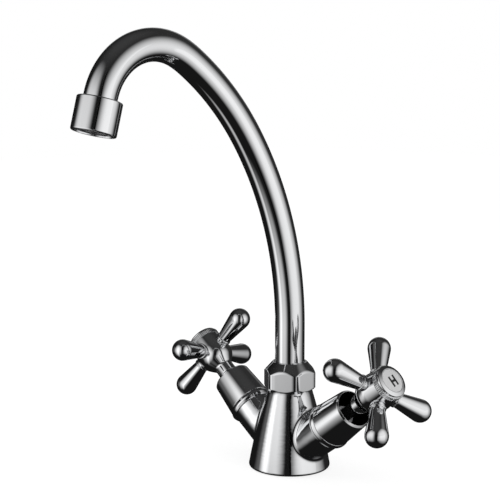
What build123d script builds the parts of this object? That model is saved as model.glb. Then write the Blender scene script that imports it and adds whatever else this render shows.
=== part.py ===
from build123d import *
import math
import os

os.makedirs("parts", exist_ok=True)

# Two-handle kitchen faucet: a conical body with two rising valve branches, cross handles on
# half-turn ceramic cartridges, and a bent tube spout that swivels in the top of the body.
# Millimetres and degrees. Z is up, the spout points along -Y, both valve axes lie in the XZ
# plane, and the origin is the centre of the underside.

# ---- Fits ----
running_fit = 0.10         # radial gap of a turning pair
slip_fit = 0.05            # radial gap of a fixed pair, threads included
axial_play = 0.05          # end play of the swivel flange
seal_fit = 0.10            # radial gap between an O-ring and the bore it slides in
cut_over = 1.0             # how far a cutting tool runs past a face

# ---- Body casting ----
base_radius = 25.1
base_edge_round = 1.6
body_top_radius = 13.4
body_height = 49.0         # underside to the seat of the spout nut
body_bulge = 0.7           # how far the side bows out from a straight cone
neck_radius = 12.0         # threaded neck that the spout nut screws on
neck_height = 8.0
valve_height = 6.1         # where the two valve axes cross the vertical axis
valve_tilt = 36.8          # rise of each valve axis above horizontal
branch_root_offset = 12.0  # start of the branch, from the crossing along its axis
branch_root_radius = 12.0
branch_length = 40.4       # crossing to the end face of the branch
branch_end_radius = 12.8
branch_blend = 3.0         # fillet where a branch leaves the cone

# ---- Waterways and fixings under the base ----
chamber_depth = 20.4       # end face of the branch to the floor of the cartridge chamber
waterway_radius = 3.0
outlet_way_lift = 5.0      # where the outlet way leaves the chamber, off its axis
mixing_radius = 6.0
mixing_depth = 12.0        # below the floor of the socket bore
inlet_radius = 5.0         # M10x1 thread of a flexible hose
inlet_depth = 12.0
inlet_offset = 9.5         # each side of the vertical axis
stud_radius = 4.0          # M8 thread of the fixing stud
stud_depth = 14.0
stud_offset = 12.5         # behind the vertical axis
seal_groove_inner = 19.0
seal_groove_outer = 22.5
seal_groove_depth = 2.0

# ---- Spout nut and swivel ----
nut_flats = 29.0
nut_corner_radius = 16.2   # turned corners of the hexagon
nut_foot_radius = 15.2
nut_foot_chamfer = 1.0
nut_side_height = 9.9      # seat to the start of the long cone, at the corners
nut_height = 16.3
nut_rim_radius = 10.5
nut_tube_gap = 0.3         # between the nut and the turning tube
glide_thickness = 0.9
flange_thickness = 1.4
flange_margin = 0.4        # the flange stays this far inside the neck's outside
neck_wall = 1.6            # around the socket bore
socket_depth = 15.0        # seat of the nut down to the floor of the socket bore
socket_end_gap = 0.5
seal_section = 1.8         # O-ring wire
seal_spacing = 3.6
first_seal_height = 3.0    # bottom of the socket to its first seal

# ---- Spout ----
tube_radius = 9.0
tube_wall = 1.2
tube_overlap = 15.4        # length of tube inside its socket
riser_height = 21.7        # top of the nut to the start of the first bend
riser_bend_radius = 204.0  # the long lower sweep
riser_bend_angle = 34.7
upper_bend_radius = 160.0
upper_bend_angle = 21.4
easing_bend_radius = 59.0  # eases the sweep into the tight bend
easing_bend_angle = 8.2
outlet_bend_radius = 37.0
outlet_bend_angle = 100.7
outlet_straight_length = 1.4   # from the last bend to the outlet head
head_radius = 12.2
head_length = 18.2
head_top_round = 0.8
head_foot_round = 0.9
tube_insert = 6.0          # how deep the tube enters the head
head_shoulder = 2.0        # web below the tube's end
aerator_thread_radius = 11.0
washer_thickness = 1.6
washer_inner = 8.2
shell_wall = 1.6
shell_recess = 0.6         # shell's lip inside the head's foot
shell_lip = 1.2
shell_lip_width = 0.7
screen_thickness = 2.5
screen_cell = 2.3          # across the flats of a cell
screen_web = 0.45
diffuser_wall = 0.9
diffuser_cover = 1.0
diffuser_holes = 10
diffuser_hole_radius = 0.7
diffuser_circle_radius = 5.5

# ---- Bead ring and sleeve, along the valve axis ----
bead_height = 4.0
bead_radius = 14.35
bead_foot_radius = 13.6
bead_inner = 10.1
sleeve_foot_radius = 13.7
sleeve_end_radius = 12.05
sleeve_length = 21.0       # bead ring to the start of the mouth's chamfer
sleeve_lip = 1.5
sleeve_bore = 10.75
sleeve_web = 3.0
sleeve_foot_round = 0.5

# ---- Cartridge, along the valve axis ----
cartridge_radius = 8.33    # G3/8 thread
seat_thickness = 1.2
disc_thickness = 2.0
disc_radius = 7.0
disc_port = 4.6
port_web = 1.2
cage_height = 7.0
window_width = 5.0
window_height = 2.6
hex_flats = 17.0
hex_height = 5.0
sleeve_thread_radius = 8.0
sleeve_thread_length = 5.2
bonnet_radius = 6.4
bonnet_height = 6.4        # above the sleeve's thread
cartridge_seal_section = 1.35
cartridge_seal_width = 1.8
cartridge_seal_drop = 0.6  # branch end to the top of the seal groove

# ---- Spindle ----
spindle_radius = 4.0
carrier_radius = 6.6
carrier_height = 3.0
tongue_width = 2.2
tongue_depth = 1.0
spindle_seal_rise = 7.8    # top of the carrier to the middle of the seal
spindle_seal_section = 1.4
clip_radius = 5.6
clip_thickness = 0.8
clip_groove_depth = 0.8
spline_radius = 3.75
spline_depth = 0.45
spline_teeth = 20
spline_length = 12.5       # how far the spindle enters the hub
spline_end_gap = 0.3
screw_thread_radius = 2.0
screw_thread_depth = 11.0

# ---- Handle, along the valve axis ----
handle_gap = 2.3           # mouth of the sleeve to the hub
hub_neck_radius = 6.0
hub_neck_length = 6.4
hub_flare_height = 6.4     # end of the neck to the shoulder
hub_flare_round = 2.5
hub_shoulder_radius = 10.9
hub_swell_height = 6.0     # shoulder to the widest place
hub_radius = 11.3
hub_shoulder_round = 9.0
hub_barrel_height = 9.6   # widest place to the grip ring
hub_front_radius = 10.2
screw_web = 3.0            # hub's inner wall that the screw clamps
screw_head_radius = 3.8
screw_head_height = 2.4
screw_socket_radius = 1.5
screw_pocket_gap = 0.6
cap_recess_depth = 3.0
arm_rise = 1.2             # widest place of the hub to the plane of the arms
arm_count = 4
arm_length = 36.95         # valve axis to the tip
arm_end_radius = 6.85      # ball that ends an arm
arm_root_radius = 4.4
arm_root_offset = 13.0     # valve axis to the top of the collar
arm_collar_radius = 5.0
arm_collar_height = 1.3
arm_spigot_radius = 2.5
arm_spigot_offset = 7.4
rest_turn = {"hot": 54.8, "cold": 14.8}

# ---- Grip ring, cap and index disc ----
grip_radius = 10.6
grip_height = 2.9
grip_ribs = 64
grip_rib_depth = 0.45
cap_stem_radius = 8.5
cap_radius = 9.8
cap_height = 2.2
cap_bevel_radius = 7.6     # where the bevel meets the flat lip
cap_bevel_height = 0.7
cap_rim_round = 0.8
cap_lip_round = 0.5
cap_end_gap = 0.2
index_radius = 7.0
index_recess = 0.7
index_thickness = 0.5

# ---- Values worked out from those above ----
neck_top = body_height + neck_height
flange_bottom = neck_top + glide_thickness + axial_play
flange_top = flange_bottom + flange_thickness
nut_web_bottom = flange_top + axial_play + glide_thickness
nut_top = body_height + nut_height
socket_bore_radius = neck_radius - neck_wall
socket_radius = socket_bore_radius - running_fit
flange_radius = neck_radius - flange_margin
socket_floor = body_height - socket_depth
socket_bottom = socket_floor + socket_end_gap
mixing_floor = socket_floor - mixing_depth
neck_bore_radius = neck_radius + slip_fit
tube_bore = tube_radius - tube_wall
spout_bends = ((riser_bend_radius, riser_bend_angle), (upper_bend_radius, upper_bend_angle),
               (easing_bend_radius, easing_bend_angle), (outlet_bend_radius, outlet_bend_angle))
tube_foot = flange_top - tube_overlap
riser_top = nut_top + riser_height
chamber_radius = cartridge_radius + slip_fit
chamber_floor = branch_length - chamber_depth
bead_top = branch_length + bead_height
sleeve_end = bead_top + sleeve_length
sleeve_mouth = sleeve_end + sleeve_lip
hex_top = branch_length + hex_height
web_top = hex_top + sleeve_web
thread_top = hex_top + sleeve_thread_length
bonnet_end = thread_top + bonnet_height
seal_groove_top = branch_length - cartridge_seal_drop
seal_groove_bottom = seal_groove_top - cartridge_seal_width
discs_bottom = chamber_floor + seat_thickness
discs_joint = discs_bottom + disc_thickness
discs_top = discs_joint + disc_thickness
cage_top = discs_bottom + cage_height
carrier_top = discs_top + carrier_height
spindle_seal_at = carrier_top + spindle_seal_rise
clip_bottom = bonnet_end + running_fit
clip_top = clip_bottom + clip_thickness
hub_rear = sleeve_mouth + handle_gap
spline_end = hub_rear + spline_length
spline_socket_end = spline_end + spline_end_gap
screw_seat = spline_socket_end + screw_web
screw_top = screw_seat + screw_head_height
hub_neck_end = hub_rear + hub_neck_length
hub_shoulder_at = hub_neck_end + hub_flare_height
hub_radius_at = hub_shoulder_at + hub_swell_height
hub_front = hub_radius_at + hub_barrel_height
arm_plane = hub_radius_at + arm_rise
arm_spigot_hole = arm_spigot_radius + slip_fit
arm_end_centre = arm_length - arm_end_radius
grip_top = hub_front + grip_height
cap_top = grip_top + cap_height
index_floor = cap_top - index_recess
side_name = {1: "hot", -1: "cold"}
tilt = math.radians(valve_tilt)

parts = {}


def turned(*corners):
    # Solid of revolution about Z from (radius, height) corners; a third number rounds the corner.
    points = [corner[:2] for corner in corners]
    rounds = [corner[2] if len(corner) > 2 else 0.0 for corner in corners]
    outline = FilletPolyline(*points, radius=rounds, close=True)
    return revolve(Plane.XZ * make_face(outline), Axis.Z)


def ring(inner, outer, bottom, top):
    return turned((inner, bottom), (outer, bottom), (outer, top), (inner, top))


def rod(radius, bottom, top):
    return Pos(0, 0, bottom) * extrude(Circle(radius), top - bottom)


def way(start, end, radius):
    # A straight drilled hole between two points.
    line = Line(start, end)
    return extrude(Plane(origin=start, z_dir=line % 0) * Circle(radius), line.length)


def o_ring(bore_radius, section, middle):
    wire = section / 2
    return Pos(0, 0, middle) * Torus(bore_radius - seal_fit - wire, wire)


def toothed(radius, depth, teeth):
    # Round outline with straight-sided ribs.
    step = math.pi / teeth
    points = []
    for index in range(2 * teeth):
        reach = radius - depth * (index % 2)
        points.append((reach * math.cos(index * step), reach * math.sin(index * step)))
    return make_face(Polyline(*points, close=True))


def valve_frame(side):
    # Z along the valve axis, Y towards the top, origin where the axes cross.
    outward = (side * math.cos(tilt), 0, math.sin(tilt))
    return Plane(origin=(0, 0, valve_height), x_dir=(0, side, 0), z_dir=outward)


def along_valve(side, distance, lift=0.0):
    # A point in the XZ plane, by its distance along the valve axis and its lift off it.
    x = side * (distance * math.cos(tilt) - lift * math.sin(tilt))
    z = valve_height + distance * math.sin(tilt) + lift * math.cos(tilt)
    return (x, 0, z)


# ---------------------------------------------------------------- body casting
def body_shape():
    side = SagittaArc((base_radius, 0), (body_top_radius, body_height), -body_bulge)
    rest = Polyline((body_top_radius, body_height), (neck_radius, body_height),
                    (neck_radius, neck_top), (0, neck_top), (0, 0), (base_radius, 0))
    outline = make_face([side, rest])
    rim = outline.vertices().sort_by_distance((base_radius, 0))[0]
    body = revolve(Plane.YZ * fillet(rim, base_edge_round), Axis.Z)
    branch = turned((0, branch_root_offset), (branch_root_radius, branch_root_offset),
                    (branch_end_radius, branch_length), (0, branch_length))
    for side_sign in side_name:
        body += valve_frame(side_sign) * branch
    return fillet(body.edges().filter_by(GeomType.BSPLINE), branch_blend)


def body_casting():
    body = body_shape()
    body -= rod(socket_bore_radius, socket_floor, neck_top + cut_over)
    body -= rod(mixing_radius, mixing_floor, socket_floor + cut_over)
    body -= ring(seal_groove_inner, seal_groove_outer, -cut_over, seal_groove_depth)
    body -= Pos(0, stud_offset, 0) * rod(stud_radius, -cut_over, stud_depth)
    for side in side_name:
        body -= valve_frame(side) * rod(chamber_radius, chamber_floor, branch_length + cut_over)
        inlet_x = side * inlet_offset
        body -= Pos(inlet_x, 0, 0) * rod(inlet_radius, -cut_over, inlet_depth)
        floor = along_valve(side, chamber_floor + cut_over)
        body -= way((inlet_x, 0, inlet_depth), floor, waterway_radius)
        leave = along_valve(side, discs_top, outlet_way_lift)
        body -= way(leave, (0, 0, socket_floor - waterway_radius), waterway_radius)
    return body


parts["body_casting"] = body_casting()
parts["base_seal"] = ring(seal_groove_inner + slip_fit, seal_groove_outer - slip_fit,
                          0, seal_groove_depth)


# ---------------------------------------------------------------- spout nut and swivel
def spout_nut():
    tube_hole = tube_radius + nut_tube_gap
    hexagon = RegularPolygon(nut_flats / 2, 6, major_radius=False, rotation=30)
    prism = Pos(0, 0, body_height) * extrude(hexagon, nut_height)
    envelope = turned((tube_hole, body_height), (nut_foot_radius, body_height),
                      (nut_corner_radius, body_height + nut_foot_chamfer),
                      (nut_corner_radius, body_height + nut_side_height),
                      (nut_rim_radius, nut_top), (tube_hole, nut_top))
    return (prism & envelope) - rod(neck_bore_radius, body_height - cut_over, nut_web_bottom)


def spout_socket():
    socket = turned((tube_bore, socket_bottom), (socket_radius, socket_bottom),
                    (socket_radius, flange_bottom), (flange_radius, flange_bottom),
                    (flange_radius, flange_top), (tube_radius, flange_top),
                    (tube_radius, tube_foot), (tube_bore, tube_foot))
    for index in range(2):
        middle = socket_bottom + first_seal_height + index * seal_spacing
        groove_floor = socket_bore_radius - seal_fit - seal_section
        socket -= ring(groove_floor, socket_radius + cut_over,
                       middle - seal_section / 2, middle + seal_section / 2)
    return socket


def spout_seals():
    heights = [socket_bottom + first_seal_height + index * seal_spacing for index in range(2)]
    return Compound([o_ring(socket_bore_radius, seal_section, z) for z in heights])


glide_inner = socket_radius + running_fit
parts["spout_nut"] = spout_nut()
parts["lower_glide_ring"] = ring(glide_inner, neck_radius - slip_fit,
                                 neck_top, neck_top + glide_thickness)
parts["upper_glide_ring"] = ring(glide_inner, neck_radius - slip_fit,
                                 flange_top + axial_play, nut_web_bottom)
parts["spout_socket"] = spout_socket()
parts["spout_seals"] = spout_seals()


# ---------------------------------------------------------------- spout tube
def spout_line():
    # Centreline in its own plane: x outwards, y up.
    line = [Line((0, tube_foot), (0, riser_top))]
    for bend_radius, turn in spout_bends:
        last = line[-1]
        line.append(JernArc(last @ 1, last % 1, bend_radius, -turn))
    end = line[-1] @ 1
    line.append(Line(end, end + (line[-1] % 1) * (outlet_straight_length + tube_insert)))
    return line


spout_plane = Plane(origin=(0, 0, 0), x_dir=(0, -1, 0), z_dir=(-1, 0, 0))
spout_runs = [spout_plane * run for run in spout_line()]
spout_path = Wire([run.edge() for run in spout_runs])
last_run = spout_runs[-1]
head_top = (last_run @ 0) + (last_run % 1) * outlet_straight_length
head_frame = Plane(origin=head_top, x_dir=(1, 0, 0), z_dir=last_run % 1)


def spout_tube():
    start = Plane(origin=spout_path @ 0, z_dir=spout_path % 0)
    wall = Circle(tube_radius) - Circle(tube_bore)
    return sweep(start * wall, spout_path)


parts["spout_tube"] = spout_tube()

# ---------------------------------------------------------------- outlet head and aerator
shoulder_bottom = tube_insert + head_shoulder
shell_top = shoulder_bottom + washer_thickness
shell_foot = head_length - shell_recess
shell_radius = aerator_thread_radius - slip_fit
shell_inner = shell_radius - shell_wall
lip_top = shell_foot - shell_lip
insert_radius = shell_inner - slip_fit
screen_top = lip_top - screen_thickness


def outlet_head():
    return turned((tube_radius, 0), (head_radius, 0, head_top_round),
                  (head_radius, head_length, head_foot_round),
                  (aerator_thread_radius, head_length),
                  (aerator_thread_radius, shoulder_bottom), (tube_bore, shoulder_bottom),
                  (tube_bore, tube_insert), (tube_radius, tube_insert))


def aerator_shell():
    return turned((shell_inner, shell_top), (shell_radius, shell_top), (shell_radius, shell_foot),
                  (shell_inner - shell_lip_width, shell_foot),
                  (shell_inner - shell_lip_width, lip_top), (shell_inner, lip_top))


def aerator_screen():
    # Round grille of hexagonal cells; only whole cells inside the rim are opened.
    cell = RegularPolygon(screen_cell / 2, 6, major_radius=False)
    pitch = screen_cell + screen_web
    reach = insert_radius - screen_web - screen_cell / math.sqrt(3)
    rows = 2 * int(insert_radius / pitch) + 1
    spots = [spot for spot in HexLocations(pitch / 2, rows, rows, major_radius=False)
             if math.hypot(spot.position.X, spot.position.Y) < reach]
    grille = Circle(insert_radius) - [spot * cell for spot in spots]
    return Pos(0, 0, screen_top) * extrude(grille, screen_thickness)


def aerator_diffuser():
    # Cup over the screen, with a ring of holes that split the stream.
    cup_top = shell_top + slip_fit
    cup = rod(insert_radius, cup_top, screen_top)
    cup -= rod(insert_radius - diffuser_wall, cup_top + diffuser_cover, screen_top + cut_over)
    hole = rod(diffuser_hole_radius, cup_top - cut_over, cup_top + diffuser_cover + cut_over)
    for spot in PolarLocations(diffuser_circle_radius, diffuser_holes):
        cup -= spot * hole
    return cup


parts["outlet_head"] = head_frame * outlet_head()
parts["aerator_washer"] = head_frame * ring(washer_inner, shell_radius, shoulder_bottom, shell_top)
parts["aerator_shell"] = head_frame * aerator_shell()
parts["aerator_screen"] = head_frame * aerator_screen()
parts["aerator_diffuser"] = head_frame * aerator_diffuser()


# ---------------------------------------------------------------- valve trim
def bead_ring():
    middle = branch_length + bead_height / 2
    return turned((bead_inner, branch_length), (bead_foot_radius, branch_length),
                  (bead_radius, middle, bead_height / 2), (bead_foot_radius, bead_top),
                  (bead_inner, bead_top))


def sleeve():
    thread = sleeve_thread_radius + slip_fit
    return turned((bead_inner, bead_top), (sleeve_foot_radius, bead_top, sleeve_foot_round),
                  (sleeve_end_radius, sleeve_end), (sleeve_bore, sleeve_mouth),
                  (sleeve_bore, web_top), (thread, web_top), (thread, hex_top),
                  (bead_inner, hex_top))


# ---------------------------------------------------------------- cartridge
def cartridge():
    cage_bore = disc_radius + running_fit
    shaft_bore = spindle_radius + running_fit
    groove = cartridge_radius - cartridge_seal_section
    carrier_room = carrier_top + running_fit
    body = turned((cage_bore, discs_bottom), (cartridge_radius, discs_bottom),
                  (cartridge_radius, seal_groove_bottom), (groove, seal_groove_bottom),
                  (groove, seal_groove_top), (cartridge_radius, seal_groove_top),
                  (cartridge_radius, hex_top), (sleeve_thread_radius, hex_top),
                  (sleeve_thread_radius, thread_top), (bonnet_radius, thread_top),
                  (bonnet_radius, bonnet_end), (shaft_bore, bonnet_end),
                  (shaft_bore, carrier_room), (cage_bore, carrier_room))
    hexagon = RegularPolygon(hex_flats / 2, 6, major_radius=False)
    drive = Pos(0, 0, branch_length) * extrude(hexagon - Circle(shaft_bore), hex_height)
    window_middle = cage_top - window_height / 2
    window = Pos(0, 0, window_middle) * Box(window_width, 3 * cartridge_radius, window_height)
    room = rod(cage_bore, discs_bottom, carrier_room)
    return (body + drive) - (window - rod(shaft_bore, discs_bottom, cage_top)) - room


def half_moon():
    # Port of a ceramic disc: a half circle beside the middle web.
    side = disc_port - port_web
    clip = Pos(port_web + side / 2, 0) * Rectangle(side, 2 * disc_port)
    return Circle(disc_port) & clip


def fixed_disc():
    return Pos(0, 0, discs_bottom) * extrude(Circle(disc_radius) - half_moon(), disc_thickness)


def moving_disc():
    disc = Pos(0, 0, discs_joint) * extrude(Circle(disc_radius) - Rot(0, 0, 180) * half_moon(),
                                            disc_thickness)
    slot_width = tongue_width + 2 * slip_fit
    slot = Pos(0, 0, discs_top - tongue_depth / 2) * Box(slot_width, 3 * disc_radius, tongue_depth)
    return disc - slot


# ---------------------------------------------------------------- spindle
def spindle():
    groove = spindle_radius + running_fit - seal_fit - spindle_seal_section
    half_wire = spindle_seal_section / 2
    clip_floor = spindle_radius - clip_groove_depth
    spline_start = clip_top + clip_thickness
    shaft = turned((0, discs_top), (carrier_radius, discs_top), (carrier_radius, carrier_top),
                   (spindle_radius, carrier_top), (spindle_radius, spindle_seal_at - half_wire),
                   (groove, spindle_seal_at - half_wire), (groove, spindle_seal_at + half_wire),
                   (spindle_radius, spindle_seal_at + half_wire), (spindle_radius, clip_bottom),
                   (clip_floor, clip_bottom), (clip_floor, clip_top),
                   (spindle_radius, clip_top), (spindle_radius, spline_start),
                   (0, spline_start))
    spline = extrude(toothed(spline_radius, spline_depth, spline_teeth), spline_end - spline_start)
    tongue = Pos(0, 0, discs_top - tongue_depth / 2) * Box(tongue_width, 2 * carrier_radius,
                                                           tongue_depth)
    tongue &= rod(carrier_radius, discs_joint, carrier_top)
    tapped = rod(screw_thread_radius, spline_end - screw_thread_depth, spline_end + cut_over)
    return shaft + Pos(0, 0, spline_start) * spline + tongue - tapped


def spindle_clip():
    clip = ring(spindle_radius - clip_groove_depth, clip_radius, clip_bottom, clip_top)
    mouth = Pos(clip_radius, 0, clip_bottom) * Box(2 * clip_radius, spindle_radius,
                                                   3 * clip_thickness)
    return clip - mouth


# ---------------------------------------------------------------- handle
def hub_blank():
    return turned((0, hub_rear), (hub_neck_radius, hub_rear),
                  (hub_neck_radius, hub_neck_end, hub_flare_round),
                  (hub_shoulder_radius, hub_shoulder_at, hub_shoulder_round),
                  (hub_radius, hub_radius_at),
                  (hub_front_radius, hub_front), (0, hub_front))


def arm_turns(name):
    return [rest_turn[name] + index * 360 / arm_count for index in range(arm_count)]


def radial(turn):
    # Z of the placed piece points away from the valve axis, in the plane of the arms.
    return Pos(0, 0, arm_plane) * Rot(0, 0, turn) * Rot(0, 90, 0)


def hub(name):
    socket = toothed(spline_radius + slip_fit, spline_depth, spline_teeth)
    body = hub_blank()
    body -= Pos(0, 0, hub_rear) * extrude(socket, spline_socket_end - hub_rear)
    body -= rod(screw_thread_radius + slip_fit, hub_rear, screw_seat + cut_over)
    body -= rod(screw_head_radius + screw_pocket_gap, screw_seat, hub_front)
    body -= rod(cap_stem_radius + slip_fit, hub_front - cap_recess_depth, hub_front + cut_over)
    for turn in arm_turns(name):
        body -= radial(turn) * rod(arm_spigot_hole, arm_spigot_offset, arm_root_offset)
    return body


def arm():
    # Arm about Z, drawn from the hub's axis; its taper runs tangent into the ball end.
    run = arm_end_centre - arm_root_offset
    reach = math.hypot(run, arm_root_radius)
    slope = math.atan2(run, arm_root_radius) - math.acos(arm_end_radius / reach)
    meet = (arm_end_radius * math.cos(slope), arm_end_centre - arm_end_radius * math.sin(slope))
    tip = (0, arm_length)
    collar_bottom = arm_root_offset - arm_collar_height
    side = Polyline(tip, (0, 0), (arm_root_radius, 0), (arm_root_radius, collar_bottom),
                    (arm_collar_radius, collar_bottom), (arm_collar_radius, arm_root_offset),
                    (arm_root_radius, arm_root_offset), meet)
    ball = TangentArc(meet, tip, tangent=side % 1)
    return revolve(Plane.XZ * make_face([side, ball]), Axis.Z)


def handle_screw():
    shank = rod(screw_thread_radius - slip_fit, spline_end - screw_thread_depth + slip_fit,
                screw_seat)
    head = turned((0, screw_seat), (screw_head_radius, screw_seat),
                  (screw_head_radius, screw_top, screw_head_height / 2), (0, screw_top))
    drive = RegularPolygon(screw_socket_radius, 6)
    return shank + head - Pos(0, 0, screw_top) * extrude(drive, -screw_head_height / 2)


def grip_ring():
    band = toothed(grip_radius, grip_rib_depth, grip_ribs) - Circle(cap_stem_radius + slip_fit)
    return Pos(0, 0, hub_front) * extrude(band, grip_height)


def index_cap():
    stem_bottom = hub_front - cap_recess_depth + cap_end_gap
    recess = index_radius + slip_fit
    return turned((0, stem_bottom), (cap_stem_radius, stem_bottom), (cap_stem_radius, grip_top),
                  (cap_radius, grip_top), (cap_radius, cap_top - cap_bevel_height, cap_rim_round),
                  (cap_bevel_radius, cap_top, cap_lip_round),
                  (recess, cap_top), (recess, index_floor), (0, index_floor))


def valve_pieces(name):
    pieces = {
        "bead_ring": bead_ring(),
        "sleeve": sleeve(),
        "cartridge": cartridge(),
        "seat_seal": ring(waterway_radius, cartridge_radius, chamber_floor, discs_bottom),
        "fixed_disc": fixed_disc(),
        "cartridge_oring": o_ring(chamber_radius + seal_fit, cartridge_seal_section,
                                  (seal_groove_bottom + seal_groove_top) / 2),
        "spindle": spindle(),
        "moving_disc": moving_disc(),
        "spindle_oring": o_ring(spindle_radius + running_fit, spindle_seal_section,
                                spindle_seal_at),
        "spindle_clip": spindle_clip(),
        "hub": hub(name),
        "screw": handle_screw(),
        "grip_ring": grip_ring(),
        "index_cap": index_cap(),
        "index_disc": rod(index_radius, index_floor, index_floor + index_thickness),
    }
    blank = hub_blank()
    spigot = rod(arm_spigot_radius, arm_spigot_offset + slip_fit, arm_root_offset)
    for index, turn in enumerate(arm_turns(name)):
        pieces[f"arm_{index + 1}"] = radial(turn) * arm() - blank + radial(turn) * spigot
    return pieces


for side, name in side_name.items():
    for piece_name, piece in valve_pieces(name).items():
        parts[f"{name}_{piece_name}"] = valve_frame(side) * piece

for name, solid in parts.items():
    export_step(solid, f"parts/{name}.step")
    print(name, len(solid.solids()), round(solid.volume, 1))
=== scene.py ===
import math

import bmesh
import bpy
from mathutils import Matrix, Vector


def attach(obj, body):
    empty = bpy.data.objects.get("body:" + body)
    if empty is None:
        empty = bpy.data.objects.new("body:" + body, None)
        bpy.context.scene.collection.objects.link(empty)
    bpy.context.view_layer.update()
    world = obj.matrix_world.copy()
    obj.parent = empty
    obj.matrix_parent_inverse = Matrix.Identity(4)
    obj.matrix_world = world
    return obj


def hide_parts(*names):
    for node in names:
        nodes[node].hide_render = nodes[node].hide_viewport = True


# Two-handle kitchen faucet in polished chrome. Sizes are in millimetres until a mesh is placed.
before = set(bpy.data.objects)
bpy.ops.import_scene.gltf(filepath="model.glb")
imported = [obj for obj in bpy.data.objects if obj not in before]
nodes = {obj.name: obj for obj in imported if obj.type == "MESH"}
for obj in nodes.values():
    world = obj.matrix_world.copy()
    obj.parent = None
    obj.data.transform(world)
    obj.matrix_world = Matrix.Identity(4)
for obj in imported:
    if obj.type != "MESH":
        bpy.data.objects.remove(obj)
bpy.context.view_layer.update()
mm = 0.001
poleRadius = 1e-6  # a turned outline's point nearer the axis than this becomes a pole
print("frame loaded:", len(nodes), "nodes")


# Meshes and objects
def roundedOutline(corners, arcStep=math.radians(8)):
    # corners are (radius, height) or (radius, height, rounding)
    outline = []
    for i, corner in enumerate(corners):
        here = Vector(corner[:2])
        rounding = corner[2] if len(corner) > 2 else 0.0
        if rounding <= 0:
            outline.append(here)
            continue
        before = (Vector(corners[i - 1][:2]) - here).normalized()
        after = (Vector(corners[(i + 1) % len(corners)][:2]) - here).normalized()
        half = before.angle(after) / 2
        centre = here + (before + after).normalized() * rounding / math.sin(half)
        start = here + before * rounding / math.tan(half) - centre
        end = here + after * rounding / math.tan(half) - centre
        sweep = math.atan2(start.x * end.y - start.y * end.x, start.dot(end))
        steps = max(2, math.ceil(abs(sweep) / arcStep))
        for k in range(steps + 1):
            outline.append(centre + Matrix.Rotation(sweep * k / steps, 2) @ start)
    return outline


def ringRow(radius, height, sides):
    # points round the axis; radius is a length or a function of the angle
    row = []
    for k in range(sides):
        angle = 2 * math.pi * k / sides
        away = radius(angle) if callable(radius) else radius
        row.append((away * math.cos(angle), away * math.sin(angle), height))
    return row


def meshFromRows(name, rows):
    # the last row joins the first; a row of one point is a pole
    bm = bmesh.new()
    made = [[bm.verts.new(point) for point in row] for row in rows]
    for low, high in zip(made, made[1:] + made[:1]):
        count = max(len(low), len(high))
        if count == 1:
            continue
        for k in range(count):
            ring = [low[k % len(low)], low[(k + 1) % len(low)],
                    high[(k + 1) % len(high)], high[k % len(high)]]
            face = list(dict.fromkeys(ring))
            if len(face) > 2:
                bm.faces.new(face)
    bmesh.ops.recalc_face_normals(bm, faces=bm.faces)
    mesh = bpy.data.meshes.new(name)
    bm.to_mesh(mesh)
    bm.free()
    return mesh


def turnedMesh(name, corners, segments=128):
    rows = []
    for point in roundedOutline(corners):
        pole = point.x < poleRadius
        rows.append([(0, 0, point.y)] if pole else ringRow(point.x, point.y, segments))
    return meshFromRows(name, rows)


def mergePoints(mesh, gap, faceOut=False):
    bm = bmesh.new()
    bm.from_mesh(mesh)
    bmesh.ops.remove_doubles(bm, verts=bm.verts, dist=gap * mm)
    if faceOut:
        bmesh.ops.recalc_face_normals(bm, faces=bm.faces)
    bm.to_mesh(mesh)
    bm.free()


def joined(name, *meshes):
    bm = bmesh.new()
    for mesh in meshes:
        bm.from_mesh(mesh)
    bmesh.ops.recalc_face_normals(bm, faces=bm.faces)
    result = bpy.data.meshes.new(name)
    bm.to_mesh(result)
    bm.free()
    return result


def placed(mesh, matrix):
    mesh.transform(Matrix.Scale(mm, 4) @ matrix)
    return mesh


def linked(name, data):
    obj = bpy.data.objects.new(name, data)
    bpy.context.scene.collection.objects.link(obj)
    return obj


def newObject(name, mesh, material, sharpAngle=28):
    mesh.shade_smooth()
    mesh.set_sharp_from_angle(angle=math.radians(sharpAngle))
    mesh.materials.clear()
    mesh.materials.append(material)
    return linked(name, mesh)


def weighted(obj, weight=60):
    modifier = obj.modifiers.new("weightedNormals", "WEIGHTED_NORMAL")
    modifier.keep_sharp = True
    modifier.weight = weight
    return obj


def evaluated(obj):
    # plain mesh of an object with its modifiers applied
    graph = bpy.context.evaluated_depsgraph_get()
    mesh = bpy.data.meshes.new_from_object(obj.evaluated_get(graph))
    obj.modifiers.clear()
    return mesh


def cleared(*objects):
    for obj in objects:
        bpy.data.objects.remove(obj)


def finished(obj, body, replaced=()):
    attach(obj, body)
    if replaced:
        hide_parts(*replaced)


# Nodes
def addNode(tree, kind, sockets=None, **settings):
    # a socket is given a value or another node's output
    node = tree.nodes.new(kind)
    for key, value in settings.items():
        setattr(node, key, value)
    for socket, value in (sockets or {}).items():
        if isinstance(value, bpy.types.NodeSocket):
            tree.links.new(value, node.inputs[socket])
        else:
            node.inputs[socket].default_value = value
    return node


def mathNode(tree, operation, *values):
    return addNode(tree, "ShaderNodeMath", dict(enumerate(values)), operation=operation).outputs[0]


def geometryTree(name, sockets):
    # takes a mesh and the named inputs, gives a mesh
    tree = bpy.data.node_groups.new(name, "GeometryNodeTree")
    for label, kind in {"Geometry": "Geometry", **sockets}.items():
        tree.interface.new_socket(label, in_out="INPUT", socket_type=f"NodeSocket{kind}")
    tree.interface.new_socket("Geometry", in_out="OUTPUT", socket_type="NodeSocketGeometry")
    return tree, addNode(tree, "NodeGroupInput").outputs


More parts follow.
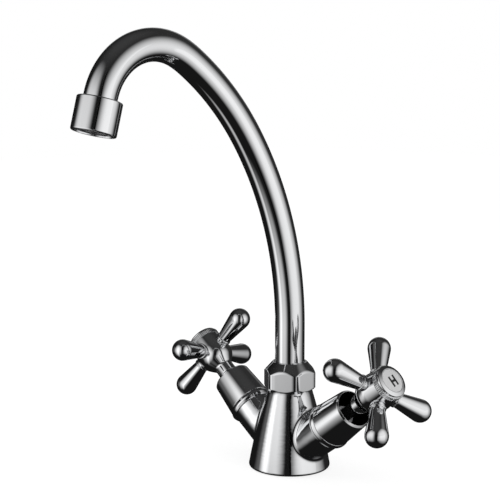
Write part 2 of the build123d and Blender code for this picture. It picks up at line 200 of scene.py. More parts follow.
def endTree(tree, geometry, finish):
    realized = addNode(tree, "GeometryNodeRealizeInstances", {"Geometry": geometry})
    painted = addNode(tree, "GeometryNodeSetMaterial", {
        "Geometry": realized.outputs["Geometry"], "Material": finish})
    addNode(tree, "NodeGroupOutput", {"Geometry": painted.outputs["Geometry"]})
    return tree


def applyTree(obj, tree, values):
    modifier = obj.modifiers.new(tree.name, "NODES")
    modifier.node_group = tree
    for item in tree.interface.items_tree:
        if item.in_out == "INPUT" and item.name in values:
            modifier[item.identifier] = values[item.name]
    mesh = evaluated(obj)
    mesh.name = obj.name
    return mesh


# Materials: scales are per metre, depths in metres
# the last entry of chromeLook is the soft width, in millimetres, of the painted shade inside a sleeve's bore
chromeLook = {"colour": (0.86, 0.865, 0.875, 1), "roughness": 0.045, "unevenness": 0.012, "smearScale": 55.0,
              "rippleScale": 140.0, "rippleDepth": 0.000002, "shadeEdge": 0.05}
satinLook = {"colour": (0.78, 0.78, 0.785, 1), "roughness": 0.34, "unevenness": 0.05, "metallic": 0.35,
             "patchScale": 300.0, "ringScale": 5200.0, "ringWobble": 0.6, "ringDepth": 0.000006}
# painted shade: near-black for metal deep in the valve's mouth, standing in for the shade there
paintedShadeLook = {"colour": (0.030, 0.030, 0.032, 1), "roughness": 0.42, "metallic": 0.6}
brassLook = {"colour": (0.80, 0.60, 0.28, 1), "roughness": 0.28, "metallic": 1.0}
steelLook = {"colour": (0.60, 0.60, 0.62, 1), "roughness": 0.30, "metallic": 1.0}
machinedMarks = {"scale": 900.0, "stretch": (1, 1, 6), "smoother": 0.06, "rougher": 0.08,
                 "grainScale": 1600.0, "grainDepth": 0.00001}
rubberLook = {"colour": (0.025, 0.025, 0.026), "roughness": 0.62, "grainDepth": 0.00003, "tint": 0.12}
acetalLook = {"colour": (0.78, 0.78, 0.75), "roughness": 0.42, "grainDepth": 0.00001, "tint": 0.12}
screenLook = {"colour": (0.12, 0.12, 0.125), "roughness": 0.45, "grainDepth": 0.00001, "tint": 0.12}
ceramicLook = {"colour": (0.80, 0.77, 0.71), "roughness": 0.16, "grainDepth": 0.000004, "tint": 0.05}
enamelLook = {"colour": (0.008, 0.008, 0.009), "roughness": 0.55, "grainDepth": 0.000006, "tint": 0.12}
mouldedMarks = {"mottleScale": 180.0, "mottleFrom": 0.2, "mottleTo": 0.8, "glossScale": 420.0,
                "unevenness": 0.05, "grainScale": 2400.0}
mixColour = {"from": 6, "to": 7, "result": 2}  # which of a mix node's sockets are its colours


def newMaterial(name):
    material = bpy.data.materials.new(name)
    material.use_nodes = True
    tree = material.node_tree
    return material, tree, tree.nodes["Principled BSDF"]


def noiseRange(tree, scale, low, high, detail=3.0, stretch=(1, 1, 1)):
    # noise on object coordinates, mapped to a range
    coords = addNode(tree, "ShaderNodeTexCoord")
    mapping = addNode(tree, "ShaderNodeMapping", {"Vector": coords.outputs["Object"], "Scale": stretch})
    noise = addNode(tree, "ShaderNodeTexNoise", {
        "Vector": mapping.outputs["Vector"], "Scale": scale, "Detail": detail})
    ranged = addNode(tree, "ShaderNodeMapRange", {
        "Value": noise.outputs["Fac"], "To Min": low, "To Max": high})
    return ranged.outputs["Result"]


def unevenGloss(tree, scale, look, spread):
    return noiseRange(tree, scale, look["roughness"] - spread, look["roughness"] + spread)


def addBump(tree, shader, height, distance):
    bump = addNode(tree, "ShaderNodeBump", {"Strength": 1.0, "Distance": distance, "Height": height})
    tree.links.new(bump.outputs["Normal"], shader.inputs["Normal"])


def localCoords(tree, matrix):
    # object coordinates measured from a piece's own centre and axes
    coords = addNode(tree, "ShaderNodeTexCoord")
    centred = addNode(tree, "ShaderNodeMapping", {
        "Vector": coords.outputs["Object"], "Location": [c * mm for c in matrix.to_translation()],
        "Rotation": matrix.to_euler()}, vector_type="TEXTURE")
    return centred.outputs["Vector"]


def chromePlate(name, look=chromeLook, paintedShadeZone=None):
    # the last argument is (matrix, radius): inside that radius round the matrix's Z the chrome is painted
    # dark, as painted shade deep in the bore
    material, tree, shader = newMaterial(name)
    shader.inputs["Base Color"].default_value = look["colour"]
    shader.inputs["Metallic"].default_value = 1.0
    smear = unevenGloss(tree, look["smearScale"], look, look["unevenness"])
    ripple = noiseRange(tree, look["rippleScale"], 0.0, 1.0, detail=1.0)
    addBump(tree, shader, ripple, look["rippleDepth"])
    if paintedShadeZone is None:
        tree.links.new(smear, shader.inputs["Roughness"])
        return material
    matrix, radius = paintedShadeZone
    flat = addNode(tree, "ShaderNodeVectorMath", {0: localCoords(tree, matrix), 1: (1, 1, 0)},
                   operation="MULTIPLY")
    away = addNode(tree, "ShaderNodeVectorMath", {0: flat.outputs["Vector"]}, operation="LENGTH")
    # 1 outside the painted shade, 0 inside it, where the chrome is painted dark
    clearOfShade = addNode(tree, "ShaderNodeMapRange", {
        "Value": away.outputs["Value"], "From Min": (radius - look["shadeEdge"]) * mm,
        "From Max": (radius + look["shadeEdge"]) * mm}).outputs["Result"]
    colour = addNode(tree, "ShaderNodeMix", data_type="RGBA", sockets={
        "Factor": clearOfShade, mixColour["from"]: paintedShadeLook["colour"], mixColour["to"]: look["colour"]})
    rough = addNode(tree, "ShaderNodeMix", data_type="FLOAT", sockets={
        "Factor": clearOfShade, "A": paintedShadeLook["roughness"], "B": smear})
    tree.links.new(colour.outputs[mixColour["result"]], shader.inputs["Base Color"])
    tree.links.new(rough.outputs["Result"], shader.inputs["Roughness"])
    return material


def machinedMetal(name, look, marks=machinedMarks):
    material, tree, shader = newMaterial(name)
    shader.inputs["Base Color"].default_value = look["colour"]
    shader.inputs["Metallic"].default_value = look["metallic"]
    gloss = noiseRange(tree, marks["scale"], look["roughness"] - marks["smoother"],
                       look["roughness"] + marks["rougher"], stretch=marks["stretch"])
    tree.links.new(gloss, shader.inputs["Roughness"])
    addBump(tree, shader, noiseRange(tree, marks["grainScale"], 0.0, 1.0), marks["grainDepth"])
    return material


def mouldedMaterial(name, look, marks=mouldedMarks):
    # faintly mottled colour, uneven gloss and a fine grain
    material, tree, shader = newMaterial(name)
    ramp = addNode(tree, "ShaderNodeValToRGB", {
        "Fac": noiseRange(tree, marks["mottleScale"], marks["mottleFrom"], marks["mottleTo"])})
    ramp.color_ramp.elements[0].color = [c * (1 - look["tint"]) for c in look["colour"]] + [1]
    ramp.color_ramp.elements[1].color = list(look["colour"]) + [1]
    tree.links.new(ramp.outputs["Color"], shader.inputs["Base Color"])
    gloss = unevenGloss(tree, marks["glossScale"], look, marks["unevenness"])
    tree.links.new(gloss, shader.inputs["Roughness"])
    addBump(tree, shader, noiseRange(tree, marks["grainScale"], 0.0, 1.0), look["grainDepth"])
    return material


def satinDisc(name, matrix, look=satinLook):
    # fine turning marks round the disc's own centre
    material, tree, shader = newMaterial(name)
    shader.inputs["Base Color"].default_value = look["colour"]
    shader.inputs["Metallic"].default_value = look["metallic"]
    rings = addNode(tree, "ShaderNodeTexWave", {
        "Vector": localCoords(tree, matrix), "Scale": look["ringScale"], "Distortion": look["ringWobble"]},
        wave_type="RINGS", rings_direction="Z")
    addBump(tree, shader, rings.outputs["Fac"], look["ringDepth"])
    gloss = unevenGloss(tree, look["patchScale"], look, look["unevenness"])
    tree.links.new(gloss, shader.inputs["Roughness"])
    return material


chrome = chromePlate("polishedChrome")
brass = machinedMetal("machinedBrass", brassLook)
# the cartridge and spindle are brass, painted near-black as the shade deep in the valve's mouth
paintedShadeBrass = machinedMetal("shadeDarkenedBrass", paintedShadeLook)
steel = machinedMetal("stainlessSteel", steelLook)
sealRubber = mouldedMaterial("sealRubber", rubberLook)
acetal = mouldedMaterial("whiteAcetal", acetalLook)
screenPlastic = mouldedMaterial("aeratorPlastic", screenLook)
ceramic = mouldedMaterial("lappedCeramic", ceramicLook)
enamel = mouldedMaterial("letterEnamel", enamelLook)
print("materials made")


# Spout tube: a round section swept along straight runs and tangent bends of (radius, degrees)
spoutSize = {"radius": 9.0, "foot": 43.95, "riserTop": 87.0, "endStraight": 1.4, "insert": 6.0,
             "bends": ((204.0, 34.7), (160.0, 21.4), (59.0, 8.2), (37.0, 100.7)), "step": 1.0, "sides": 96,
             "leastSteps": 4, "mergeGap": 0.0001}


def spoutPath(size):
    # points in the spout's plane as (outwards, up), then the tube's end and the direction it points
    here, heading = Vector((0.0, size["foot"])), math.pi / 2
    path = [here.copy()]

    def runOn(length):
        steps = max(1, round(length / size["step"]))
        for _ in range(steps):
            path.append(path[-1] + Vector((math.cos(heading), math.sin(heading))) * length / steps)

    runOn(size["riserTop"] - size["foot"])
    for radius, turn in size["bends"]:
        steps = max(size["leastSteps"], round(radius * math.radians(turn) / size["step"]))
        centre = path[-1] + Vector((math.sin(heading), -math.cos(heading))) * radius
        arm = path[-1] - centre
        for k in range(1, steps + 1):
            path.append(centre + Matrix.Rotation(-math.radians(turn) * k / steps, 2) @ arm)
        heading -= math.radians(turn)
    tubeEnd = path[-1] + Vector((math.cos(heading), math.sin(heading))) * size["endStraight"]
    runOn(size["endStraight"] + size["insert"])
    return path, tubeEnd, heading


def sweepTree():
    tree, given = geometryTree("sweptTube", {"Radius": "Float", "Sides": "Int", "Finish": "Material"})
    line = addNode(tree, "GeometryNodeMeshToCurve", {"Mesh": given["Geometry"]})
    section = addNode(tree, "GeometryNodeCurvePrimitiveCircle", {
        "Radius": given["Radius"], "Resolution": given["Sides"]})
    swept = addNode(tree, "GeometryNodeCurveToMesh", {
        "Curve": line.outputs["Curve"], "Profile Curve": section.outputs["Curve"], "Fill Caps": True})
    return endTree(tree, swept.outputs["Mesh"], given["Finish"])


path, tubeEnd, endHeading = spoutPath(spoutSize)
lineMesh = bpy.data.meshes.new("spoutLine")
lineMesh.from_pydata([(0, -point.x * mm, point.y * mm) for point in path],
                     [(k, k + 1) for k in range(len(path) - 1)], [])
lineHolder = linked("spoutLine", lineMesh)
tubeMesh = applyTree(lineHolder, sweepTree(), {
    "Radius": spoutSize["radius"] * mm, "Sides": spoutSize["sides"], "Finish": chrome})
cleared(lineHolder)
mergePoints(tubeMesh, spoutSize["mergeGap"], faceOut=True)
spoutTube = newObject("spoutTube", tubeMesh, chrome)
finished(spoutTube, "spout", ["spout_tube"])
print("spout tube swept:", len(tubeMesh.polygons), "faces")


# Outlet head at the end of the tube
headSize = {"radius": 12.2, "length": 18.2, "topRound": 0.8, "footRound": 0.9, "bore": 11.0, "tube": 9.0,
            "jointRound": 0.1, "shoulder": 8.0, "web": 7.8, "insert": 6.0, "innerRound": 0.15}


def headMesh(size):
    return turnedMesh("outletHead", [
        (size["tube"], 0, size["jointRound"]), (size["radius"], 0, size["topRound"]),
        (size["radius"], size["length"], size["footRound"]),
        (size["bore"], size["length"], size["innerRound"]), (size["bore"], size["shoulder"]),
        (size["web"], size["shoulder"]), (size["web"], size["insert"]), (size["tube"], size["insert"])])


outward = Vector((0, -math.cos(endHeading), math.sin(endHeading)))
acrossX = Vector((1, 0, 0))
headMatrix = Matrix.Translation((0, -tubeEnd.x, tubeEnd.y)) @ Matrix(
    (acrossX, outward.cross(acrossX), outward)).transposed().to_4x4()
outletHead = weighted(newObject("outletHead", placed(headMesh(headSize), headMatrix), chrome))
finished(outletHead, "spout", ["outlet_head"])


# Spout nut: a hexagon whose corners and top are turned off, its edges slightly rounded
nutSize = {"facets": 6, "flats": 29.0, "cornerRadius": 16.2, "footRadius": 15.2, "footChamfer": 1.0,
           "seat": 49.0, "sideHeight": 9.9, "height": 16.3, "rimRadius": 10.5, "tubeHole": 9.3,
           "holeBevel": 0.25, "neckHole": 12.05, "webHeight": 11.3, "edgeRound": 0.9, "sides": 360,
           "rowsUp": 84, "sharpAngle": 35}


def smoothLeast(a, b, width):
    blend = max(width - abs(a - b), 0) / width
    return min(a, b) - blend * blend * width / 4


def nutRadius(angle, height, size):
    # distance from the axis to the nut's outside
    facet = 2 * math.pi / size["facets"]
    fromFlat = (angle + facet / 2) % facet - facet / 2
    flat = size["flats"] / 2 / math.cos(fromFlat)
    if height < size["footChamfer"]:
        part = height / size["footChamfer"]
        turned = size["footRadius"] + (size["cornerRadius"] - size["footRadius"]) * part
    elif height < size["sideHeight"]:
        turned = size["cornerRadius"]
    else:
        part = (height - size["sideHeight"]) / (size["height"] - size["sideHeight"])
        turned = size["cornerRadius"] + (size["rimRadius"] - size["cornerRadius"]) * part
    return smoothLeast(flat, turned, size["edgeRound"])


def nutMesh(size):
    seat, sides = size["seat"], size["sides"]
    top, web = seat + size["height"], seat + size["webHeight"]
    rows = []
    for k in range(size["rowsUp"] + 1):
        height = size["height"] * k / size["rowsUp"]
        rows.append(ringRow(lambda angle: nutRadius(angle, height, size), seat + height, sides))
    inside = ((size["tubeHole"] + size["holeBevel"], top), (size["tubeHole"], top - size["holeBevel"]),
              (size["tubeHole"], web), (size["neckHole"], web), (size["neckHole"], seat))
    rows += [ringRow(radius, height, sides) for radius, height in inside]
    return placed(meshFromRows("spoutNut", rows), Matrix.Identity(4))


spoutNut = weighted(newObject("spoutNut", nutMesh(nutSize), chrome, nutSize["sharpAngle"]))
finished(spoutNut, "body", ["spout_nut"])
print("outlet head and spout nut made")


# Body casting: the CAD shape, its points merged and shaded smooth across its blends
bodySet = {"mergeGap": 0.001, "sharpAngle": 24}
bodyMesh = nodes["body_casting"].data.copy()
mergePoints(bodyMesh, bodySet["mergeGap"])
bodyShell = weighted(newObject("bodyShell", bodyMesh, chrome, bodySet["sharpAngle"]))
finished(bodyShell, "body", ["body_casting"])
print("body casting merged:", len(bodyMesh.polygons), "faces")


# Valve trim and handles, each measured along the tilted valve axis
valveAxis = {"height": 6.1, "tilt": math.radians(36.8)}
sides = {"hot": 1, "cold": -1}
beadSize = {"from": 40.4, "to": 44.4, "radius": 14.35, "crownRound": 2.0, "foot": 13.6, "footRound": 0.25,
            "bore": 10.1}
# inside the bore and 0.1 mm beyond it, the sleeve's chrome is painted dark as shade
sleeveSize = {"from": 44.4, "foot": 13.7, "footRound": 0.5, "end": 65.4, "endRadius": 12.05, "lipRound": 0.5,
              "mouth": 66.9, "mouthRound": 0.25, "bore": 10.75, "clearOfShade": 0.1, "web": 48.4, "thread": 8.05,
              "seat": 45.4, "recess": 10.1}
hubSize = {"rear": 69.2, "edgeRound": 0.5, "neck": 6.0, "neckEnd": 75.6, "flareRound": 2.5, "shoulder": 10.9,
           "shoulderAt": 82.0, "shoulderRound": 9.0, "radius": 11.3, "widest": 88.0, "widestRound": 12.0,
           "front": 97.6, "frontRadius": 10.2, "frontRound": 0.3, "bore": 3.8, "socketEnd": 82.0,
           "pocket": 4.4, "seat": 85.0, "screw": 2.05, "recess": 8.55, "recessFloor": 94.6}
armSize = {"plane": 89.2, "count": 4, "length": 36.95, "ball": 6.85, "root": 4.4, "rootAt": 13.0,
           "collar": 5.0, "collarHeight": 1.3, "collarRound": 0.55, "neckFrom": 9.0,
           "turn": {"hot": 54.8, "cold": 14.8}, "ballSteps": 22, "segments": 72}
gripSize = {"from": 97.6, "to": 100.5, "core": 10.15, "bore": 8.55, "edge": 0.15, "segments": 144, "ribs": 64,
            "ribRadius": 0.34, "ribRound": 0.2, "ribGap": 0.05, "ribCentre": 10.26, "ribSides": 12}
capSize = {"stem": 8.5, "stemFrom": 94.8, "stemRound": 0.2, "from": 100.5, "radius": 9.8, "rearRound": 0.1,
           "rim": 102.0, "rimRound": 0.8, "bevel": 7.6, "bevelRound": 0.5, "to": 102.7, "recess": 7.05,
           "recessFloor": 102.0, "lipRound": 0.15}
indexSize = {"radius": 7.0, "from": 102.0, "to": 102.5, "edge": 0.1, "cut": 0.22, "cutAbove": 1.0,
             "fill": 0.2, "segments": 96, "sharpAngle": 20}
letterSize = {"height": 6.5, "width": 4.8, "stroke": 1.45, "turn": 12.0, "offset": (0.74, -0.22),
              "opening": 48.0, "narrowing": 0.86, "arcSteps": 40}


def valveMatrix(side):
    # Z out along the valve axis, Y towards the top
    tilt = valveAxis["tilt"]
    out = Vector((side * math.cos(tilt), 0, math.sin(tilt)))
    across = Vector((0, side, 0))
    turn = Matrix((across, out.cross(across), out)).transposed().to_4x4()
    return Matrix.Translation((0, 0, valveAxis["height"])) @ turn


def beadMesh(size):
    middle = (size["from"] + size["to"]) / 2
    return turnedMesh("beadRing", [
        (size["bore"], size["from"]), (size["foot"], size["from"], size["footRound"]),
        (size["radius"], middle, size["crownRound"]), (size["foot"], size["to"], size["footRound"]),
        (size["bore"], size["to"])])


def sleeveMesh(size):
    return turnedMesh("sleeve", [
        (size["recess"], size["from"]), (size["foot"], size["from"], size["footRound"]),
        (size["endRadius"], size["end"], size["lipRound"]), (size["bore"], size["mouth"], size["mouthRound"]),
        (size["bore"], size["web"]), (size["thread"], size["web"]), (size["thread"], size["seat"]),
        (size["recess"], size["seat"])])


def hubMesh(size):
    return turnedMesh("hub", [
        (size["bore"], size["rear"]), (size["neck"], size["rear"], size["edgeRound"]),
        (size["neck"], size["neckEnd"], size["flareRound"]),
        (size["shoulder"], size["shoulderAt"], size["shoulderRound"]),
        (size["radius"], size["widest"], size["widestRound"]),
        (size["frontRadius"], size["front"], size["frontRound"]), (size["recess"], size["front"]),
        (size["recess"], size["recessFloor"]), (size["pocket"], size["recessFloor"]),
        (size["pocket"], size["seat"]), (size["screw"], size["seat"]), (size["screw"], size["socketEnd"]),
        (size["bore"], size["socketEnd"])])


def armOutline(size):
    # taper that runs tangent into the ball, with a rolled collar at the root
    root, rootAt, ball = size["root"], size["rootAt"], size["ball"]
    centre = size["length"] - ball
    run = centre - rootAt
    slope = math.atan2(run, root) - math.acos(ball / math.hypot(run, root))
    collarFrom = rootAt - size["collarHeight"]
    outline = [(0, size["neckFrom"]), (root, size["neckFrom"]), (root, collarFrom),
               (size["collar"], collarFrom, size["collarRound"]),
               (size["collar"], rootAt, size["collarRound"]), (root, rootAt)]
    for k in range(size["ballSteps"] + 1):
        angle = -slope + (math.pi / 2 + slope) * k / size["ballSteps"]
        outline.append((max(ball * math.cos(angle), 0), centre + ball * math.sin(angle)))
    return outline


def roundTree():
    # copies of one mesh, evenly round the axis
    tree, given = geometryTree("copiesRound", {"Count": "Int", "Start Turn": "Float", "Finish": "Material"})
    spots = addNode(tree, "GeometryNodePoints", {"Count": given["Count"]})
    number = addNode(tree, "GeometryNodeInputIndex")
    share = mathNode(tree, "DIVIDE", number.outputs["Index"], given["Count"])
    angle = mathNode(tree, "MULTIPLY_ADD", share, 2 * math.pi, given["Start Turn"])
    turn = addNode(tree, "ShaderNodeCombineXYZ", {"Z": angle})
    copies = addNode(tree, "GeometryNodeInstanceOnPoints", {
        "Points": spots.outputs["Points"], "Instance": given["Geometry"], "Rotation": turn.outputs["Vector"]})
    return endTree(tree, copies.outputs["Instances"], given["Finish"])


def copiedRound(name, mesh, count, startTurn=0.0):
    holder = linked(name, mesh)
    result = applyTree(holder, copiesTree, {
        "Count": count, "Start Turn": math.radians(startTurn), "Finish": chrome})
    cleared(holder)
    return result


def crossMesh(size, side):
    arm = turnedMesh("arm", armOutline(size), size["segments"])
    arm.transform(Matrix.Translation((0, 0, size["plane"])) @ Matrix.Rotation(math.pi / 2, 4, "Y"))
    return copiedRound("cross", arm, size["count"], size["turn"][side])


def gripMesh(size):
    low, high, edge = size["from"], size["to"], size["edge"]
    band = turnedMesh("gripBand", [
        (size["bore"], low), (size["core"], low, edge), (size["core"], high, edge), (size["bore"], high)],
        size["segments"])
    length = high - low - 2 * size["ribGap"]
    rib = turnedMesh("gripRib", [
        (0, 0), (size["ribRadius"], 0, size["ribRound"]), (size["ribRadius"], length, size["ribRound"]),
        (0, length)], size["ribSides"])
    rib.transform(Matrix.Translation((size["ribCentre"], 0, low + size["ribGap"])))
    return joined("gripRing", band, copiedRound("gripRibs", rib, size["ribs"]))


def capMesh(size):
    return turnedMesh("indexCap", [
        (0, size["stemFrom"]), (size["stem"], size["stemFrom"], size["stemRound"]),
        (size["stem"], size["from"]), (size["radius"], size["from"], size["rearRound"]),
        (size["radius"], size["rim"], size["rimRound"]), (size["bevel"], size["to"], size["bevelRound"]),
        (size["recess"], size["to"], size["lipRound"]), (size["recess"], size["recessFloor"]),
        (0, size["recessFloor"])])


def letterOutline(letter, size):
    wide, stroke, high = size["width"] / 2, size["stroke"], size["height"] / 2
    if letter == "H":
        inner, bar = wide - stroke, stroke / 2
        return [(-wide, -high), (-inner, -high), (-inner, -bar), (inner, -bar), (inner, -high), (wide, -high),
                (wide, high), (inner, high), (inner, bar), (-inner, bar), (-inner, high), (-wide, high)]
    opening, steps, narrowing = math.radians(size["opening"]), size["arcSteps"], size["narrowing"]
    angles = [opening + (2 * math.pi - 2 * opening) * k / steps for k in range(steps + 1)]
    ring = [(high * narrowing * math.cos(a), high * math.sin(a)) for a in angles]
    inside = high - stroke
    ring += [(inside * narrowing * math.cos(a), inside * math.sin(a)) for a in reversed(angles)]
    return ring


def letterPrism(name, outline, low, high, size):
    bm = bmesh.new()
    base = [bm.verts.new((x, y, low)) for x, y in outline]
    face = bm.faces.new(base)
    raised = bmesh.ops.extrude_face_region(bm, geom=[face])
    bmesh.ops.translate(bm, verts=[v for v in raised["geom"] if isinstance(v, bmesh.types.BMVert)],
                        vec=(0, 0, high - low))
    bmesh.ops.triangulate(bm, faces=[f for f in bm.faces if len(f.verts) > 4])
    bmesh.ops.recalc_face_normals(bm, faces=bm.faces)
    turn = Matrix.Rotation(math.radians(size["turn"]), 3, "Z")
    bmesh.ops.rotate(bm, verts=bm.verts, cent=(0, 0, 0), matrix=turn)
    bmesh.ops.translate(bm, verts=bm.verts, vec=(*size["offset"], 0))
    mesh = bpy.data.meshes.new(name)
    bm.to_mesh(mesh)
    bm.free()
    return mesh


def engravedDisc(letter, size):
    # disc with the letter sunk into it, and the enamel that fills the letter
    top, floor = size["to"], size["to"] - size["cut"]
    outline = letterOutline(letter, letterSize)
    disc = linked("disc", turnedMesh("disc", [
        (0, size["from"]), (size["radius"], size["from"], size["edge"]), (size["radius"], top, size["edge"]),
        (0, top)], size["segments"]))
    cutter = linked("cutter", letterPrism("cutter", outline, floor, top + size["cutAbove"], letterSize))
    cut = disc.modifiers.new("letter", "BOOLEAN")
    cut.operation, cut.solver, cut.object = "DIFFERENCE", "EXACT", cutter
    mesh = evaluated(disc)
    cleared(disc, cutter)
    return mesh, letterPrism("fill", outline, floor, floor + size["fill"], letterSize)


copiesTree = roundTree()
for name, side in sides.items():
    valve = valveMatrix(side)
    handle = f"{name}_handle"
    # the sleeve's bore is painted dark, a painted shade for the deep mouth
    sleeveFinish = chromePlate(f"{name}SleeveChrome", paintedShadeZone=(valve, sleeveSize["bore"] + sleeveSize["clearOfShade"]))
    armNodes = [f"arm_{k + 1}" for k in range(armSize["count"])]
    chromePieces = (("BeadRing", beadMesh(beadSize), chrome, "body", ["bead_ring"]),
                    ("Sleeve", sleeveMesh(sleeveSize), sleeveFinish, "body", ["sleeve"]),
                    ("Hub", hubMesh(hubSize), chrome, handle, ["hub"]),
                    ("CrossArms", crossMesh(armSize, name), chrome, handle, armNodes),
                    ("GripRing", gripMesh(gripSize), chrome, handle, ["grip_ring"]),
                    ("IndexCap", capMesh(capSize), chrome, handle, ["index_cap"]))
    for piece, mesh, finish, body, replaced in chromePieces:
        obj = weighted(newObject(f"{name}{piece}", placed(mesh, valve), finish))
        finished(obj, body, [f"{name}_{node}" for node in replaced])
    discMesh, fillMesh = engravedDisc(name[0].upper(), indexSize)
    discFinish = satinDisc(f"{name}SatinDisc", valve)
    disc = newObject(f"{name}IndexDisc", placed(discMesh, valve), discFinish, indexSize["sharpAngle"])
    finished(disc, handle, [f"{name}_index_disc"])
    letter = newObject(f"{name}Letter", placed(fillMesh, valve), enamel, indexSize["sharpAngle"])
    finished(letter, handle)
    print(name, "valve trim and handle made")


# Finishes of the CAD pieces that stay
nodeFinish = {"base_seal": sealRubber, "lower_glide_ring": acetal, "upper_glide_ring": acetal,
              "spout_socket": brass, "spout_seals": sealRubber, "aerator_washer": sealRubber,
              "aerator_shell": chrome, "aerator_screen": screenPlastic, "aerator_diffuser": screenPlastic}
# cartridge and spindle take the near-black painted-shade finish
valveFinish = {"cartridge": paintedShadeBrass, "seat_seal": sealRubber, "fixed_disc": ceramic,
               "cartridge_oring": sealRubber, "spindle": paintedShadeBrass, "moving_disc": ceramic,
               "spindle_oring": sealRubber, "spindle_clip": steel, "screw": steel}
for name in sides:
    nodeFinish.update({f"{name}_{piece}": finish for piece, finish in valveFinish.items()})
for name, finish in nodeFinish.items():
    slots = nodes[name].data.materials
    if not slots:
        slots.append(finish)
    for k in range(len(slots)):
        slots[k] = finish
print("finishes set on", len(nodeFinish), "CAD pieces")


# Studio: a white floor and background, and soft panels in a dark room for the chrome to reflect.
# The camera is set in millimetres, all else here in metres. A panel's turn and the room's bands
# are in degrees, counted round from the camera; a band is (middle, half width, soft edge).
cameraSet = {"azimuth": 47.39, "elevation": 7.41, "distance": 740.16, "aside": -24.17, "height": 133.31,
             "lens": 88.615, "sensor": 36.0, "clip": 10.0}
floorSet = {"size": 6.0, "below": 0.0002, "glow": 0.78, "shade": 0.28}
roomSet = {"dark": 0.009, "diffuse": 0.85, "background": 1.0}
roomGlow = {  # bands round the room and up from the horizon
    "ceiling": {"round": (0, 181, 1), "up": (90, 6, 65), "strength": 0.035},
    "rightEdge": {"round": (40, 38, 2), "up": (-8, 14, 10), "strength": 0.14},
    "leftBack": {"round": (-92, 8, 24), "up": (0, 6, 18), "strength": 0.1},
    "rear": {"round": (120, 40, 50), "up": (34, 10, 62), "strength": 0.02},
    "backdrop": {"round": (176, 1, 34), "up": (18, 6, 9), "strength": 0.25}}
panels = {  # bands across and up an upright screen
    "leftPanel": {"turn": -57.0, "distance": 0.42, "strength": 0.88,
                  "across": (0.02, 0.08, 0.31), "up": (0.17, 0.01, 0.575)},
    "rightPanel": {"turn": 65.0, "distance": 0.42, "strength": 0.85,
                   "across": (-0.125, 0.075, 0.62), "up": (0.165, 0.005, 0.69)},
    "leftCard": {"turn": -90.0, "distance": 0.144, "strength": 0.5,
                 "across": (0.047, 0.006, 0.045), "up": (0.025, 0.01, 0.16)},
    "blackCard": {"turn": 1.2, "distance": 0.62, "strength": 0,
                  "across": (0, 0.02, 0.012), "up": (0.1, 0.5, 0.1)}}
lamps = {"keyLamp": {"place": (-0.9, -0.9, 1.2), "aim": (0, 0, 0.1), "size": 0.9, "power": 6.0},
         "fillLamp": {"place": (1.1, 0.2, 0.9), "aim": (0, 0, 0.1), "size": 0.9, "power": 3.0}}
squareCorners = ((-1, -1), (1, -1), (1, 1), (-1, 1))


def softBand(tree, value, middle, half, soft, wrap=False):
    # 1 inside the band, falling smoothly to 0 outside it; wrap is for an angle
    away = mathNode(tree, "SUBTRACT", value, middle)
    if wrap:
        away = mathNode(tree, "WRAP", away, math.pi, -math.pi)
    ranged = addNode(tree, "ShaderNodeMapRange", {
        "Value": mathNode(tree, "ABSOLUTE", away), "From Min": half + soft, "From Max": half},
        interpolation_type="SMOOTHSTEP")
    return ranged.outputs["Result"]


def buildWorld():
    world = bpy.data.worlds.new("studio")
    bpy.context.scene.world = world
    world.use_nodes = True
    tree = world.node_tree
    tree.nodes.clear()
    coords = addNode(tree, "ShaderNodeTexCoord")
    turned = addNode(tree, "ShaderNodeVectorRotate", {
        "Vector": coords.outputs["Generated"], "Angle": math.radians(90 - cameraSet["azimuth"])},
        rotation_type="Z_AXIS")
    split = addNode(tree, "ShaderNodeSeparateXYZ", {"Vector": turned.outputs["Vector"]})
    around = mathNode(tree, "ARCTAN2", split.outputs["Y"], split.outputs["X"])
    above = mathNode(tree, "ARCSINE", split.outputs["Z"])
    brightest = 0.0
    for light in roomGlow.values():
        glow = mathNode(tree, "MULTIPLY",
                        softBand(tree, around, *map(math.radians, light["round"]), wrap=True),
                        softBand(tree, above, *map(math.radians, light["up"])))
        brightest = mathNode(tree, "MAXIMUM", brightest, mathNode(tree, "MULTIPLY", glow, light["strength"]))
    room = mathNode(tree, "ADD", brightest, roomSet["dark"])
    rays = addNode(tree, "ShaderNodeLightPath")
    seen = addNode(tree, "ShaderNodeMix", data_type="FLOAT", sockets={
        "Factor": rays.outputs["Is Glossy Ray"], "A": roomSet["diffuse"], "B": room})
    shown = addNode(tree, "ShaderNodeMix", data_type="FLOAT", sockets={
        "Factor": rays.outputs["Is Camera Ray"], "A": seen.outputs["Result"], "B": roomSet["background"]})
    background = addNode(tree, "ShaderNodeBackground", {
        "Color": (1, 1, 1, 1), "Strength": shown.outputs["Result"]})
    addNode(tree, "ShaderNodeOutputWorld", {"Surface": background.outputs["Background"]})


def emptyMaterial(name):
    material, tree, shader = newMaterial(name)
    tree.nodes.remove(shader)
    return material, tree, tree.nodes["Material Output"].inputs["Surface"]


def flatSheet(name, corners, material):
    mesh = bpy.data.meshes.new(name)
    mesh.from_pydata(corners, [], [(0, 1, 2, 3)])
    mesh.materials.append(material)
    return linked(name, mesh)


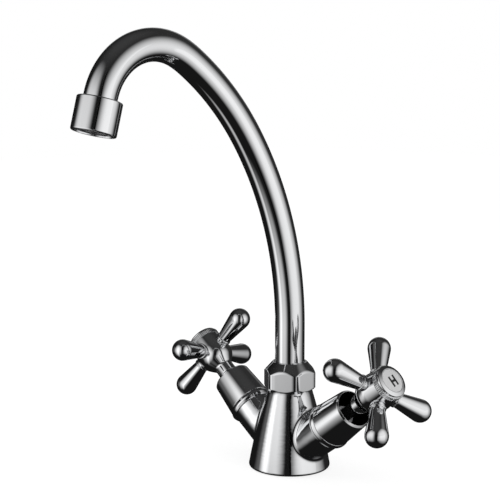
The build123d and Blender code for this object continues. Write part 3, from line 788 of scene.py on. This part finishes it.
def panelMaterial(name, panel, across):
    # a soft light, or a dark card where the strength is 0, that fades to nothing at its edges
    material, tree, surface = emptyMaterial(name)
    coords = addNode(tree, "ShaderNodeTexCoord").outputs["Object"]
    along = addNode(tree, "ShaderNodeVectorMath", {0: coords, 1: across}, operation="DOT_PRODUCT")
    split = addNode(tree, "ShaderNodeSeparateXYZ", {"Vector": coords})
    share = mathNode(tree, "MULTIPLY", softBand(tree, along.outputs["Value"], *panel["across"]),
                     softBand(tree, split.outputs["Z"], *panel["up"]))
    clear = addNode(tree, "ShaderNodeBsdfTransparent").outputs[0]
    if panel["strength"] > 0:
        strength = mathNode(tree, "MULTIPLY", share, panel["strength"])
        glow = addNode(tree, "ShaderNodeEmission", {"Strength": strength}).outputs[0]
        both = addNode(tree, "ShaderNodeAddShader", {0: clear, 1: glow})
    else:
        black = addNode(tree, "ShaderNodeEmission", {"Strength": 0}).outputs[0]
        both = addNode(tree, "ShaderNodeMixShader", {"Fac": share, 1: clear, 2: black})
    tree.links.new(both.outputs[0], surface)
    return material


def buildPanel(name, panel):
    # upright screen that only reflections see
    turn = math.radians(cameraSet["azimuth"] + panel["turn"])
    out = Vector((math.sin(turn), -math.cos(turn), 0))
    across = Vector((math.cos(turn), math.sin(turn), 0))
    width, height = (sum(panel[way][1:]) for way in ("across", "up"))
    corners = [out * panel["distance"] + across * (panel["across"][0] + x * width)
               + Vector((0, 0, panel["up"][0] + z * height)) for x, z in squareCorners]
    screen = flatSheet(name, corners, panelMaterial(name, panel, across))
    screen.visible_camera = screen.visible_diffuse = screen.visible_shadow = False
    screen.visible_transmission = False


def buildFloor():
    half = floorSet["size"] / 2
    material, tree, surface = emptyMaterial("paleFloor")
    rays = addNode(tree, "ShaderNodeLightPath")
    strength = mathNode(tree, "MULTIPLY", rays.outputs["Is Camera Ray"], floorSet["glow"])
    paint = addNode(tree, "ShaderNodeBsdfDiffuse", {"Color": (floorSet["shade"],) * 3 + (1,)})
    glow = addNode(tree, "ShaderNodeEmission", {"Strength": strength})
    both = addNode(tree, "ShaderNodeAddShader", {0: paint.outputs[0], 1: glow.outputs[0]})
    tree.links.new(both.outputs[0], surface)
    floor = flatSheet("floor", [(x * half, y * half, 0) for x, y in squareCorners], material)
    floor.visible_glossy = False
    floor.location.z = -floorSet["below"]


def addLamp(name, lamp):
    data = bpy.data.lights.new(name, "AREA")
    data.shape, data.size, data.energy = "SQUARE", lamp["size"], lamp["power"]
    place, aim = Vector(lamp["place"]), Vector(lamp["aim"])
    light = linked(name, data)
    light.location = place
    light.rotation_euler = (aim - place).to_track_quat("-Z", "Y").to_euler()
    light.visible_glossy = False


def buildCamera():
    turn, rise = math.radians(cameraSet["azimuth"]), math.radians(cameraSet["elevation"])
    back = Vector((math.sin(turn) * math.cos(rise), -math.cos(turn) * math.cos(rise), math.sin(rise)))
    right = Vector((math.cos(turn), math.sin(turn), 0))
    aim = right * cameraSet["aside"] + Vector((0, 0, cameraSet["height"]))
    data = bpy.data.cameras.new("camera")
    data.sensor_width, data.lens = cameraSet["sensor"], cameraSet["lens"]
    data.clip_start = cameraSet["clip"] * mm
    camera = linked("camera", data)
    turnMatrix = Matrix((right, back.cross(right), back)).transposed().to_4x4()
    camera.matrix_world = Matrix.Translation((aim + back * cameraSet["distance"]) * mm) @ turnMatrix
    bpy.context.scene.camera = camera


buildWorld()
buildFloor()
for name, panel in panels.items():
    buildPanel(name, panel)
for name, lamp in lamps.items():
    addLamp(name, lamp)
buildCamera()
bpy.context.scene.view_settings.view_transform = "Standard"
print("studio and camera set")
